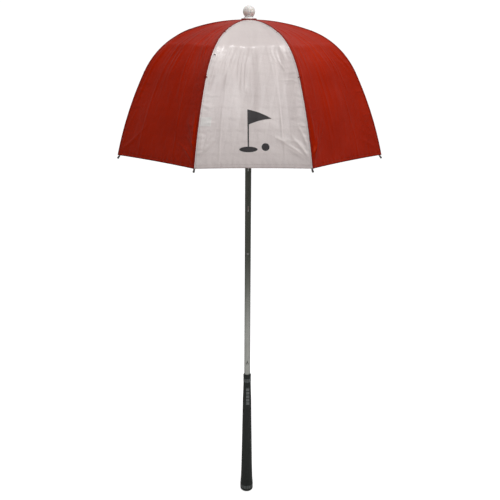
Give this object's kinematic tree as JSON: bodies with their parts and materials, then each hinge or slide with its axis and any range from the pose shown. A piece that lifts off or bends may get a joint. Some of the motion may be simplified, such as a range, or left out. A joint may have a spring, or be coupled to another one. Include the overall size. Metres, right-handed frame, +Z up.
{
  "type": "golf umbrella",
  "caption": "Open stick umbrella with a deep red and white canopy, straight golf grip and a dimpled ball finial; runner, ribs and stretchers fold.",
  "frame": {"origin": "centre of the butt end, on the shaft's axis", "axes": "+Z up the shaft towards the finial; -Y faces the front white gore; ribs stand 22.5 degrees either side of it and every 45 degrees"},
  "size_m": [0.475, 0.475, 0.9924],
  "materials": {
    "chromed_tube": "polished",
    "frame_steel": "satin black",
    "wire_steel": "plain",
    "black_plastic": "matt",
    "grip_rubber": "matt",
    "grey_paint": "satin",
    "white_plastic": "gloss",
    "dark_red_plastic": "satin",
    "timber": "plain",
    "red_fabric": "woven",
    "white_fabric": "woven"
  },
  "bodies": {
    "shaft": {"shaft_tube": "chromed_tube", "top_plug": "timber", "finial_stud": "wire_steel", "finial_ball": "white_plastic", "finial_skirt": "white_plastic", "rosette": "dark_red_plastic", "crown": "black_plastic", "crown_wire": "wire_steel", "catch_pins": "wire_steel", "stop_rivet": "chromed_tube", "v_mark": "frame_steel", "grip": "grip_rubber", "grip_band": "grey_paint", "grip_badge": "grey_paint", "butt_cap": "grip_rubber", "butt_band": "grey_paint"},
    "runner": {"runner": "black_plastic", "runner_wire": "wire_steel"},
    "upper_catch": {"upper_catch": "chromed_tube"},
    "lower_catch": {"lower_catch": "chromed_tube"},
    "rib_1_top": {"rib_1_upper": "frame_steel"},
    "rib_1_end": {"rib_1_lower": "frame_steel"},
    "strut_1": {"stretcher_1": "frame_steel"},
    "gore_1_top": {"gore_1_upper": "white_fabric"},
    "gore_1_side": {"gore_1_lower": "white_fabric"},
    "rib_2_top": {"rib_2_upper": "frame_steel"},
    "rib_2_end": {"rib_2_lower": "frame_steel"},
    "strut_2": {"stretcher_2": "frame_steel"},
    "gore_2_top": {"gore_2_upper": "red_fabric"},
    "gore_2_side": {"gore_2_lower": "red_fabric"},
    "rib_3_top": {"rib_3_upper": "frame_steel"},
    "rib_3_end": {"rib_3_lower": "frame_steel"},
    "strut_3": {"stretcher_3": "frame_steel"},
    "gore_3_top": {"gore_3_upper": "white_fabric"},
    "gore_3_side": {"gore_3_lower": "white_fabric"},
    "rib_4_top": {"rib_4_upper": "frame_steel"},
    "rib_4_end": {"rib_4_lower": "frame_steel"},
    "strut_4": {"stretcher_4": "frame_steel"},
    "gore_4_top": {"gore_4_upper": "red_fabric"},
    "gore_4_side": {"gore_4_lower": "red_fabric"},
    "rib_5_top": {"rib_5_upper": "frame_steel"},
    "rib_5_end": {"rib_5_lower": "frame_steel"},
    "strut_5": {"stretcher_5": "frame_steel"},
    "gore_5_top": {"gore_5_upper": "white_fabric"},
    "gore_5_side": {"gore_5_lower": "white_fabric"},
    "rib_6_top": {"rib_6_upper": "frame_steel"},
    "rib_6_end": {"rib_6_lower": "frame_steel"},
    "strut_6": {"stretcher_6": "frame_steel"},
    "gore_6_top": {"gore_6_upper": "red_fabric"},
    "gore_6_side": {"gore_6_lower": "red_fabric"},
    "rib_7_top": {"rib_7_upper": "frame_steel"},
    "rib_7_end": {"rib_7_lower": "frame_steel"},
    "strut_7": {"stretcher_7": "frame_steel"},
    "gore_7_top": {"gore_7_upper": "white_fabric"},
    "gore_7_side": {"gore_7_lower": "white_fabric"},
    "rib_8_top": {"rib_8_upper": "frame_steel"},
    "rib_8_end": {"rib_8_lower": "frame_steel"},
    "strut_8": {"stretcher_8": "frame_steel"},
    "gore_8_top": {"gore_8_upper": "red_fabric"},
    "gore_8_side": {"gore_8_lower": "red_fabric"}
  },
  "joints": [
    {"name": "runner_slide", "type": "slide", "parent": "shaft", "child": "runner", "axis": [0, 0, -1], "range_m": [0, 0.15891], "deforming": ["gore_1_upper", "gore_1_lower", "gore_2_upper", "gore_2_lower", "gore_3_upper", "gore_3_lower", "gore_4_upper", "gore_4_lower", "gore_5_upper", "gore_5_lower", "gore_6_upper", "gore_6_lower", "gore_7_upper", "gore_7_lower", "gore_8_upper", "gore_8_lower"]},
    {"name": "upper_catch_hinge", "type": "hinge", "parent": "shaft", "child": "upper_catch", "pos_m": [0, 0.001, 0.6634], "axis": [-1, 0, 0], "range_deg": [0, 5], "stiffness_Nm_per_rad": 0.6},
    {"name": "lower_catch_hinge", "type": "hinge", "parent": "shaft", "child": "lower_catch", "pos_m": [0, 0.001, 0.6459], "axis": [1, 0, 0], "range_deg": [0, 5], "stiffness_Nm_per_rad": 0.6},
    {"name": "rib_1_hinge", "type": "hinge", "parent": "shaft", "child": "rib_1_top", "pos_m": [0.00383, -0.00924, 0.96338], "axis": [0.9239, 0.3827, 0], "range_deg": [0, 72.85]},
    {"name": "rib_1_flex", "type": "hinge", "parent": "rib_1_top", "child": "rib_1_end", "pos_m": [0.05708, -0.13781, 0.93074], "axis": [0.9239, 0.3827, 0], "range_deg": [-44.99, 0]},
    {"name": "stretcher_1_hinge", "type": "hinge", "parent": "rib_1_top", "child": "strut_1", "pos_m": [0.05708, -0.13781, 0.93074], "axis": [0.9239, 0.3827, 0], "range_deg": [-109.19, 0]},
    {"name": "gore_1_fold", "type": "hinge", "parent": "shaft", "child": "gore_1_top", "pos_m": [0, -0.00924, 0.96338], "axis": [1, 0, 0], "range_deg": [0, 71.2]},
    {"name": "gore_1_flex", "type": "hinge", "parent": "gore_1_top", "child": "gore_1_side", "pos_m": [0, -0.13959, 0.93379], "axis": [1, 0, 0], "range_deg": [-45.17, 0]},
    {"name": "rib_2_hinge", "type": "hinge", "parent": "shaft", "child": "rib_2_top", "pos_m": [0.00924, -0.00383, 0.96338], "axis": [0.3827, 0.9239, 0], "range_deg": [0, 72.85]},
    {"name": "rib_2_flex", "type": "hinge", "parent": "rib_2_top", "child": "rib_2_end", "pos_m": [0.13781, -0.05708, 0.93074], "axis": [0.3827, 0.9239, 0], "range_deg": [-44.99, 0]},
    {"name": "stretcher_2_hinge", "type": "hinge", "parent": "rib_2_top", "child": "strut_2", "pos_m": [0.13781, -0.05708, 0.93074], "axis": [0.3827, 0.9239, 0], "range_deg": [-109.19, 0]},
    {"name": "gore_2_fold", "type": "hinge", "parent": "shaft", "child": "gore_2_top", "pos_m": [0.00653, -0.00653, 0.96338], "axis": [0.7071, 0.7071, 0], "range_deg": [0, 71.2]},
    {"name": "gore_2_flex", "type": "hinge", "parent": "gore_2_top", "child": "gore_2_side", "pos_m": [0.0987, -0.0987, 0.93379], "axis": [0.7071, 0.7071, 0], "range_deg": [-45.17, 0]},
    {"name": "rib_3_hinge", "type": "hinge", "parent": "shaft", "child": "rib_3_top", "pos_m": [0.00924, 0.00383, 0.96338], "axis": [-0.3827, 0.9239, 0], "range_deg": [0, 72.85]},
    {"name": "rib_3_flex", "type": "hinge", "parent": "rib_3_top", "child": "rib_3_end", "pos_m": [0.13781, 0.05708, 0.93074], "axis": [-0.3827, 0.9239, 0], "range_deg": [-44.99, 0]},
    {"name": "stretcher_3_hinge", "type": "hinge", "parent": "rib_3_top", "child": "strut_3", "pos_m": [0.13781, 0.05708, 0.93074], "axis": [-0.3827, 0.9239, 0], "range_deg": [-109.19, 0]},
    {"name": "gore_3_fold", "type": "hinge", "parent": "shaft", "child": "gore_3_top", "pos_m": [0.00924, 0, 0.96338], "axis": [0, 1, 0], "range_deg": [0, 71.2]},
    {"name": "gore_3_flex", "type": "hinge", "parent": "gore_3_top", "child": "gore_3_side", "pos_m": [0.13959, 0, 0.93379], "axis": [0, 1, 0], "range_deg": [-45.17, 0]},
    {"name": "rib_4_hinge", "type": "hinge", "parent": "shaft", "child": "rib_4_top", "pos_m": [0.00383, 0.00924, 0.96338], "axis": [-0.9239, 0.3827, 0], "range_deg": [0, 72.85]},
    {"name": "rib_4_flex", "type": "hinge", "parent": "rib_4_top", "child": "rib_4_end", "pos_m": [0.05708, 0.13781, 0.93074], "axis": [-0.9239, 0.3827, 0], "range_deg": [-44.99, 0]},
    {"name": "stretcher_4_hinge", "type": "hinge", "parent": "rib_4_top", "child": "strut_4", "pos_m": [0.05708, 0.13781, 0.93074], "axis": [-0.9239, 0.3827, 0], "range_deg": [-109.19, 0]},
    {"name": "gore_4_fold", "type": "hinge", "parent": "shaft", "child": "gore_4_top", "pos_m": [0.00653, 0.00653, 0.96338], "axis": [-0.7071, 0.7071, 0], "range_deg": [0, 71.2]},
    {"name": "gore_4_flex", "type": "hinge", "parent": "gore_4_top", "child": "gore_4_side", "pos_m": [0.0987, 0.0987, 0.93379], "axis": [-0.7071, 0.7071, 0], "range_deg": [-45.17, 0]},
    {"name": "rib_5_hinge", "type": "hinge", "parent": "shaft", "child": "rib_5_top", "pos_m": [-0.00383, 0.00924, 0.96338], "axis": [-0.9239, -0.3827, 0], "range_deg": [0, 72.85]},
    {"name": "rib_5_flex", "type": "hinge", "parent": "rib_5_top", "child": "rib_5_end", "pos_m": [-0.05708, 0.13781, 0.93074], "axis": [-0.9239, -0.3827, 0], "range_deg": [-44.99, 0]},
    {"name": "stretcher_5_hinge", "type": "hinge", "parent": "rib_5_top", "child": "strut_5", "pos_m": [-0.05708, 0.13781, 0.93074], "axis": [-0.9239, -0.3827, 0], "range_deg": [-109.19, 0]},
    {"name": "gore_5_fold", "type": "hinge", "parent": "shaft", "child": "gore_5_top", "pos_m": [0, 0.00924, 0.96338], "axis": [-1, 0, 0], "range_deg": [0, 71.2]},
    {"name": "gore_5_flex", "type": "hinge", "parent": "gore_5_top", "child": "gore_5_side", "pos_m": [0, 0.13959, 0.93379], "axis": [-1, 0, 0], "range_deg": [-45.17, 0]},
    {"name": "rib_6_hinge", "type": "hinge", "parent": "shaft", "child": "rib_6_top", "pos_m": [-0.00924, 0.00383, 0.96338], "axis": [-0.3827, -0.9239, 0], "range_deg": [0, 72.85]},
    {"name": "rib_6_flex", "type": "hinge", "parent": "rib_6_top", "child": "rib_6_end", "pos_m": [-0.13781, 0.05708, 0.93074], "axis": [-0.3827, -0.9239, 0], "range_deg": [-44.99, 0]},
    {"name": "stretcher_6_hinge", "type": "hinge", "parent": "rib_6_top", "child": "strut_6", "pos_m": [-0.13781, 0.05708, 0.93074], "axis": [-0.3827, -0.9239, 0], "range_deg": [-109.19, 0]},
    {"name": "gore_6_fold", "type": "hinge", "parent": "shaft", "child": "gore_6_top", "pos_m": [-0.00653, 0.00653, 0.96338], "axis": [-0.7071, -0.7071, 0], "range_deg": [0, 71.2]},
    {"name": "gore_6_flex", "type": "hinge", "parent": "gore_6_top", "child": "gore_6_side", "pos_m": [-0.0987, 0.0987, 0.93379], "axis": [-0.7071, -0.7071, 0], "range_deg": [-45.17, 0]},
    {"name": "rib_7_hinge", "type": "hinge", "parent": "shaft", "child": "rib_7_top", "pos_m": [-0.00924, -0.00383, 0.96338], "axis": [0.3827, -0.9239, 0], "range_deg": [0, 72.85]},
    {"name": "rib_7_flex", "type": "hinge", "parent": "rib_7_top", "child": "rib_7_end", "pos_m": [-0.13781, -0.05708, 0.93074], "axis": [0.3827, -0.9239, 0], "range_deg": [-44.99, 0]},
    {"name": "stretcher_7_hinge", "type": "hinge", "parent": "rib_7_top", "child": "strut_7", "pos_m": [-0.13781, -0.05708, 0.93074], "axis": [0.3827, -0.9239, 0], "range_deg": [-109.19, 0]},
    {"name": "gore_7_fold", "type": "hinge", "parent": "shaft", "child": "gore_7_top", "pos_m": [-0.00924, 0, 0.96338], "axis": [0, -1, 0], "range_deg": [0, 71.2]},
    {"name": "gore_7_flex", "type": "hinge", "parent": "gore_7_top", "child": "gore_7_side", "pos_m": [-0.13959, 0, 0.93379], "axis": [0, -1, 0], "range_deg": [-45.17, 0]},
    {"name": "rib_8_hinge", "type": "hinge", "parent": "shaft", "child": "rib_8_top", "pos_m": [-0.00383, -0.00924, 0.96338], "axis": [0.9239, -0.3827, 0], "range_deg": [0, 72.85]},
    {"name": "rib_8_flex", "type": "hinge", "parent": "rib_8_top", "child": "rib_8_end", "pos_m": [-0.05708, -0.13781, 0.93074], "axis": [0.9239, -0.3827, 0], "range_deg": [-44.99, 0]},
    {"name": "stretcher_8_hinge", "type": "hinge", "parent": "rib_8_top", "child": "strut_8", "pos_m": [-0.05708, -0.13781, 0.93074], "axis": [0.9239, -0.3827, 0], "range_deg": [-109.19, 0]},
    {"name": "gore_8_fold", "type": "hinge", "parent": "shaft", "child": "gore_8_top", "pos_m": [-0.00653, -0.00653, 0.96338], "axis": [0.7071, -0.7071, 0], "range_deg": [0, 71.2]},
    {"name": "gore_8_flex", "type": "hinge", "parent": "gore_8_top", "child": "gore_8_side", "pos_m": [-0.0987, -0.0987, 0.93379], "axis": [0.7071, -0.7071, 0], "range_deg": [-45.17, 0]}
  ],
  "couplings": [
    {"joint": "rib_1_hinge", "follows": "runner_slide", "rad_per_m": 7.9959},
    {"joint": "rib_1_flex", "follows": "runner_slide", "rad_per_m": -4.9359},
    {"joint": "stretcher_1_hinge", "follows": "runner_slide", "rad_per_m": -11.987},
    {"joint": "gore_1_fold", "follows": "runner_slide", "rad_per_m": 7.8146},
    {"joint": "gore_1_flex", "follows": "runner_slide", "rad_per_m": -4.9557},
    {"joint": "rib_2_hinge", "follows": "runner_slide", "rad_per_m": 7.9959},
    {"joint": "rib_2_flex", "follows": "runner_slide", "rad_per_m": -4.9359},
    {"joint": "stretcher_2_hinge", "follows": "runner_slide", "rad_per_m": -11.987},
    {"joint": "gore_2_fold", "follows": "runner_slide", "rad_per_m": 7.8146},
    {"joint": "gore_2_flex", "follows": "runner_slide", "rad_per_m": -4.9557},
    {"joint": "rib_3_hinge", "follows": "runner_slide", "rad_per_m": 7.9959},
    {"joint": "rib_3_flex", "follows": "runner_slide", "rad_per_m": -4.9359},
    {"joint": "stretcher_3_hinge", "follows": "runner_slide", "rad_per_m": -11.987},
    {"joint": "gore_3_fold", "follows": "runner_slide", "rad_per_m": 7.8146},
    {"joint": "gore_3_flex", "follows": "runner_slide", "rad_per_m": -4.9557},
    {"joint": "rib_4_hinge", "follows": "runner_slide", "rad_per_m": 7.9959},
    {"joint": "rib_4_flex", "follows": "runner_slide", "rad_per_m": -4.9359},
    {"joint": "stretcher_4_hinge", "follows": "runner_slide", "rad_per_m": -11.987},
    {"joint": "gore_4_fold", "follows": "runner_slide", "rad_per_m": 7.8146},
    {"joint": "gore_4_flex", "follows": "runner_slide", "rad_per_m": -4.9557},
    {"joint": "rib_5_hinge", "follows": "runner_slide", "rad_per_m": 7.9959},
    {"joint": "rib_5_flex", "follows": "runner_slide", "rad_per_m": -4.9359},
    {"joint": "stretcher_5_hinge", "follows": "runner_slide", "rad_per_m": -11.987},
    {"joint": "gore_5_fold", "follows": "runner_slide", "rad_per_m": 7.8146},
    {"joint": "gore_5_flex", "follows": "runner_slide", "rad_per_m": -4.9557},
    {"joint": "rib_6_hinge", "follows": "runner_slide", "rad_per_m": 7.9959},
    {"joint": "rib_6_flex", "follows": "runner_slide", "rad_per_m": -4.9359},
    {"joint": "stretcher_6_hinge", "follows": "runner_slide", "rad_per_m": -11.987},
    {"joint": "gore_6_fold", "follows": "runner_slide", "rad_per_m": 7.8146},
    {"joint": "gore_6_flex", "follows": "runner_slide", "rad_per_m": -4.9557},
    {"joint": "rib_7_hinge", "follows": "runner_slide", "rad_per_m": 7.9959},
    {"joint": "rib_7_flex", "follows": "runner_slide", "rad_per_m": -4.9359},
    {"joint": "stretcher_7_hinge", "follows": "runner_slide", "rad_per_m": -11.987},
    {"joint": "gore_7_fold", "follows": "runner_slide", "rad_per_m": 7.8146},
    {"joint": "gore_7_flex", "follows": "runner_slide", "rad_per_m": -4.9557},
    {"joint": "rib_8_hinge", "follows": "runner_slide", "rad_per_m": 7.9959},
    {"joint": "rib_8_flex", "follows": "runner_slide", "rad_per_m": -4.9359},
    {"joint": "stretcher_8_hinge", "follows": "runner_slide", "rad_per_m": -11.987},
    {"joint": "gore_8_fold", "follows": "runner_slide", "rad_per_m": 7.8146},
    {"joint": "gore_8_flex", "follows": "runner_slide", "rad_per_m": -4.9557}
  ]
}
